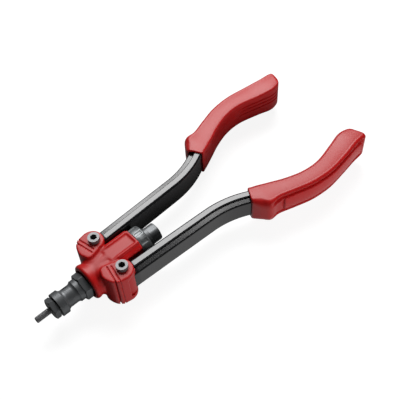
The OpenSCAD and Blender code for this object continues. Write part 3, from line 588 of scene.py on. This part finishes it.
# %% Curves and easing
GRIP_INNER = [(-3, -8.3), (1, -8.6), (5, -9.2), (17, -10.5), (34, -12.1), (52, -16.3), (69, -25),
              (86, -40.6), (97, -50.8), (105, -54.8), (112, -55.8), (117.5, -54.4)]
GRIP_OUTER = [(-3, 8.5), (6, 13.4), (14, 15.4), (23, 9.8), (40, 5.8), (59, 0.8), (79, -8.8),
              (98, -23), (112, -34.8), (121.5, -41.5), (124.5, -45.2), (124, -48.6)]
GRIP_HALF_H = [14.3, 14.3, 14.3, 13.8, 13.8, 13.8, 13.8, 13.8, 15.0, 15.0, 14.6, 13.4]

def curve(points, s):
    """Smooth curve through points, for s from 0 to 1."""
    points = np.asarray(points, float)
    if points.ndim == 1:
        points = points[:, None]
    n = len(points) - 1
    k = np.minimum((s * n).astype(int), n - 1)
    t = (s * n - k)[:, None]
    a, b, c, d = (points[np.clip(k + i, 0, n)] for i in (-1, 0, 1, 2))
    bend = (2 * a - 5 * b + 4 * c - d) * t**2 + (3 * b - a - 3 * c + d) * t**3
    return b + ((c - a) * t + bend) / 2

def ease(x):
    """A smooth rise from 0 to 1."""
    x = np.clip(x, 0, 1)
    return x * x * (3 - 2 * x)

def hump(x):
    """One in the middle and zero beyond one on both sides."""
    return np.cos(np.clip(x, -1, 1) * math.pi / 2) ** 2

def window(s, start, rise, end, fall):
    """One between two places along the grip, with a smooth rise and fall."""
    return ease((s - start) / rise) * ease((end - s) / fall)

def quarter(depth, radius):
    """How far a rounded end falls short of the full size at a depth."""
    return radius * (1 - np.sqrt(np.clip(1 - (1 - np.clip(depth / radius, 0, 1)) ** 2, 0, 1)))

# %% [markdown]
# ## The grips' section
# Cut across, a grip is a box with round corners. A primitive cube with a bevel has no points where the
# grooves need them. This section has even steps along every side, so that later pushes on its points
# make clean grooves.

# %% A rounded box
SIDE_STEPS, CORNER_STEPS = 64, 8
SIDE_ENDS = ((1, 0), (0, -1), (-1, 0), (0, 1))

def box_section(half_w, half_h, inner_r, outer_r):
    """A rounded box, from its outer top corner round over the outer side, as offset and height."""
    corners = [(1, 1, outer_r), (1, -1, outer_r), (-1, -1, inner_r), (-1, 1, inner_r)]
    steps = np.linspace(0, 1, SIDE_STEPS + 2)[1:-1, None]
    out = []
    for i, (sx, sz, r) in enumerate(corners):
        first = 90 - 90 * i
        turn = np.radians(np.linspace(first, first - 90, CORNER_STEPS + 1))
        centre = np.array([sx * (half_w - r), sz * (half_h - r)])
        out.append(centre + r * np.stack([np.cos(turn), np.sin(turn)], 1))
        nx, nz, nr = corners[(i + 1) % 4]
        following = np.array([nx * (half_w - nr), nz * (half_h - nr)]) + nr * np.array(SIDE_ENDS[i])
        out.append(out[-1][-1] + steps * (following - out[-1][-1]))
    return np.concatenate(out)

# %% [markdown]
# ## Moulded grips
# The outer side of a grip carries a hollow band above and below the pad, and the inner side three long
# finger grooves. Bump mapping could fake them, but the outline and the exported mesh would stay plain.
# Each ring's points are pushed in instead, as far as the place along the grip asks for.

# %% The outside of a grip
GRIP_RINGS, LIP_R, DOME_R, CROWN = 170, 1.2, 5.0, 0.9
INNER_CORNER_R, OUTER_CORNER_R, GUARD_SWELL = 2.2, 4.2, 4.0
PAD_START, PAD_END, PAD_HALF_H, PAD_SEAT = 10 / 33, 0.8, 8.2, 1.2
BAND_DEPTH, BAND_HALF_W, BAND_HEIGHT = 3.0, 3.0, 0.66
BAND_RUN, FINGER_RUN, HOLLOW_RUN = (0.16, 0.1, 0.84, 0.06), (0.5, 0.12, 0.985, 0.02), (0.06, 0.1, 0.62, 0.2)
SEAT_RUN = (PAD_START - 0.03, 0.03, PAD_END + 0.012, 0.012)
GUARD_PLACE, GUARD_SPAN, HOLLOW_HEIGHT = 0.12, 0.14, 0.8
DOME_SHARE, SIDE_SHARE, FLAT_DEPTH = 0.8, 0.4, 0.02
INNER_R_LIMIT, OUTER_R_LIMIT = 0.4, 0.6
FINGER_GROOVES, FINGER_HALF_W, FINGER_DEPTH, PALM_HOLLOW = (6.4, 2.0, -2.4), 0.9, 2.4, 1.1

def grip_frames():
    """For each ring: s, middle, outward direction, half width, half height and distance to both ends."""
    mouth = 0.018 * np.linspace(0, 1, 8)[1:-1] ** 2
    dome = 1 - 0.05 * np.linspace(0, 1, 10)[1:-1] ** 2
    s = np.sort(np.concatenate([np.linspace(0, 1, GRIP_RINGS), mouth, dome]))
    inner, outer = curve(GRIP_INNER, s), curve(GRIP_OUTER, s)
    middle, across = (inner + outer) / 2, outer - inner
    half_w = np.linalg.norm(across, axis=1) / 2
    run = np.concatenate([[0], np.cumsum(np.linalg.norm(np.diff(middle, axis=0), axis=1))])
    out, half_h = across / (2 * half_w[:, None]), curve(GRIP_HALF_H, s)[:, 0]
    return s, middle, out, half_w, half_h, run, run[-1] - run

def outer_push(s, z, h):
    """How deep the band and the pad's seat lie in the outer side."""
    band = BAND_DEPTH * hump((np.abs(z) - BAND_HEIGHT * h) / BAND_HALF_W) * window(s, *BAND_RUN)
    seat = PAD_SEAT * window(s, *SEAT_RUN) * (np.abs(z) < PAD_HALF_H)
    return np.maximum(band, seat)

def inner_push(s, z, h):
    """How deep the finger grooves and the hollow behind the guard lie in the inner side."""
    fingers = sum(hump((z - groove) / FINGER_HALF_W) for groove in FINGER_GROOVES)
    hollow = hump(z / (HOLLOW_HEIGHT * h)) * window(s, *HOLLOW_RUN)
    return FINGER_DEPTH * fingers * window(s, *FINGER_RUN) + PALM_HOLLOW * hollow

def grip_rings():
    """The grip's outside from the mouth to the domed end."""
    rings = []
    for s, middle, out, half_w, half_h, run, rest in zip(*grip_frames()):
        short = quarter(run, LIP_R) + quarter(rest, DOME_R) * DOME_SHARE * half_w / DOME_R
        w, h = half_w - short, half_h - short
        outer_r = OUTER_CORNER_R + GUARD_SWELL * hump((s - GUARD_PLACE) / GUARD_SPAN)
        x, z = box_section(w, h, min(INNER_CORNER_R, INNER_R_LIMIT * h), min(outer_r, OUTER_R_LIMIT * h)).T
        z = z - np.sign(z) * CROWN * (np.abs(x) / w) ** 2 * (np.abs(z) > h - FLAT_DEPTH)
        x = x - (x > SIDE_SHARE * w) * outer_push(s, z, h)
        x = x + (x < -SIDE_SHARE * w) * inner_push(s, z, h)
        rings.append(np.stack([middle[0] + x * out[0], middle[1] + x * out[1], z], 1))
    return np.array(rings)

# %% [markdown]
# ## Socket and pad
# The grip is hollow where the arm enters it, and a softer pad is set into its outer side. Booleans
# could cut both, but they leave long thin faces. The socket is two more rings in front of the outside,
# and the pad is a skin of its own with a bulged face that sinks into its seat all round.

# %% The inside of the mouth and the soft pad
SOCKET_SECTION, SOCKET_PLACES = (6.6, 12.35, 2.4, 1.6), ((5.0, 0.0), (-2.9, -0.05))
PAD_LIFT, PAD_FALL, PAD_BACK, PAD_EDGE_R, PAD_FRONT_R, PAD_END_R = 0.75, 1.0, -4.0, 1.4, 1.0, 2.5
PAD_GAP = 0.15

def socket_rings():
    """The socket's inside, from its floor to the mouth."""
    x, z = box_section(*SOCKET_SECTION).T
    return np.array([np.stack([np.full(len(x), u), x + v, z], 1) for u, v in SOCKET_PLACES])

def pad_rings():
    """The soft pad: a bulged face that sinks into the grip all round, and a flat back."""
    s = np.linspace(PAD_START, PAD_END, 110)
    inner, outer = curve(GRIP_INNER, s), curve(GRIP_OUTER, s)
    out = (outer - inner) / np.linalg.norm(outer - inner, axis=1)[:, None]
    run = np.concatenate([[0], np.cumsum(np.linalg.norm(np.diff(outer, axis=0), axis=1))])
    t = np.linspace(-1, 1, 33)
    face = PAD_LIFT - PAD_FALL * t**2 - quarter((1 - np.abs(t)) * PAD_HALF_H, PAD_EDGE_R)
    z = np.concatenate([t, t[::-1]]) * (PAD_HALF_H - PAD_GAP)
    rings = []
    for i in range(len(s)):
        short = quarter(run[i], PAD_FRONT_R) + quarter(run[-1] - run[i], PAD_END_R)
        x = np.concatenate([face - short, np.full(len(t), PAD_BACK)])
        rings.append(np.stack([outer[i, 0] + x * out[i, 0], outer[i, 1] + x * out[i, 1], z], 1))
    return np.array(rings)

# %% Grips and pads on both arms
for side, sign in SIDES:
    rings = np.concatenate([socket_rings(), grip_rings()])
    smooth_piece(f"{side}_moulded_grip", set_on_arm(rings, sign), "red_grip", f"{side}_arm",
                 f"{side}_grip")
    smooth_piece(f"{side}_soft_pad", set_on_arm(pad_rings(), sign), "red_pad", f"{side}_arm",
                 f"{side}_palm_pad")

# %% [markdown]
# ## Floor
# The tool lies on a white table with a faint shadow. A plain white floor would throw so much light
# back that the sides turn pink. This one is grey to the tool and glows only for camera rays, so that
# the picture stays white and the shadow stays visible.

# %% The table
FLOOR_GREY, FLOOR_GLOW, FLOOR_SIZE = 0.2, 0.9, 12

def floor():
    """A white floor that gives little light back to the tool."""
    bpy.ops.mesh.primitive_plane_add(size=FLOOR_SIZE, location=(-0.15, 0, cad_low.z))
    plane = bpy.context.object
    plane.name = "floor"
    material = bpy.data.materials.new("floor")
    material.use_nodes = True
    tree = material.node_tree
    diffuse, glow = tree.nodes["Principled BSDF"], tree.nodes.new("ShaderNodeEmission")
    diffuse.inputs["Roughness"].default_value = 1
    diffuse.inputs["Specular IOR Level"].default_value = 0
    diffuse.inputs["Base Color"].default_value = (FLOOR_GREY, FLOOR_GREY, FLOOR_GREY, 1)
    path, total = tree.nodes.new("ShaderNodeLightPath"), tree.nodes.new("ShaderNodeAddShader")
    scale = tree.nodes.new("ShaderNodeMath")
    scale.operation = "MULTIPLY"
    scale.inputs[1].default_value = FLOOR_GLOW
    tree.links.new(path.outputs["Is Camera Ray"], scale.inputs[0])
    tree.links.new(scale.outputs["Value"], glow.inputs["Strength"])
    tree.links.new(diffuse.outputs["BSDF"], total.inputs[0])
    tree.links.new(glow.outputs["Emission"], total.inputs[1])
    tree.links.new(total.outputs["Shader"], tree.nodes["Material Output"].inputs["Surface"])
    plane.data.materials.append(material)
    print("floor at", round(cad_low.z / MM, 1), "mm")

floor()

# %% [markdown]
# ## Light
# In the photo one large softbox above and behind mirrors in the flat tops, and the near sides get a
# weak fill. A sky texture would light everything alike. Area lights have a size and a direction, and
# each can be kept to the scattered or to the mirrored part of its light.

# %% Softbox, fill and card
def area_light(name, place, aim, size, power, diffuse=True, glossy=True):
    """A rectangular softbox at a place, turned to a point; both in millimetres."""
    data = bpy.data.lights.new(name, "AREA")
    data.shape = "RECTANGLE"
    data.size, data.size_y = size[0] * MM, size[1] * MM
    data.energy = power
    light = bpy.data.objects.new(name, data)
    light.location = Vector(place) * MM
    light.rotation_euler = (Vector(aim) - Vector(place)).to_track_quat("-Z", "Y").to_euler()
    light.visible_camera, light.visible_diffuse, light.visible_glossy = False, diffuse, glossy
    scene.collection.objects.link(light)
    print(name + ":", power, "W")

area_light("softbox_back", (-640, -580, 940), (-160, 0, 0), (900, 700), 19)
area_light("fill_side", (-280, 800, 160), (-230, 0, 0), (700, 260), 4.0, glossy=False)
area_light("floor_card", (-150, 140, -21.5), (-150, 140, 100), (420, 230), 0.18, diffuse=False)

# %% [markdown]
# ## Room
# Behind the table the photo is plain white, but a white world would flood the tool with light. The
# Light Path node tells the camera's rays from all others, so the camera sees white and the tool sees a
# dim room.

# %% The room behind the table
ROOM_LIGHT = 0.0076

def studio():
    """A dim room that the camera sees as white."""
    world = bpy.data.worlds.new("studio")
    scene.world = world
    world.use_nodes = True
    tree = world.node_tree
    backdrop, path = tree.nodes["Background"], tree.nodes.new("ShaderNodeLightPath")
    level = tree.nodes.new("ShaderNodeMath")
    backdrop.inputs["Color"].default_value = (1, 1, 1, 1)
    level.operation = "MAXIMUM"
    level.inputs[1].default_value = ROOM_LIGHT
    tree.links.new(path.outputs["Is Camera Ray"], level.inputs[0])
    tree.links.new(level.outputs["Value"], backdrop.inputs["Strength"])

studio()
print("room light:", ROOM_LIGHT)

# %% [markdown]
# Cycles follows the light's real paths, which the soft shadow and the painted tops need. The Standard
# view keeps the colours as they were set.

# %% Settings
scene.render.engine = "CYCLES"
scene.cycles.samples = 128
scene.cycles.use_denoising = True
scene.render.resolution_x = scene.render.resolution_y = 400
scene.view_settings.view_transform = "Standard"
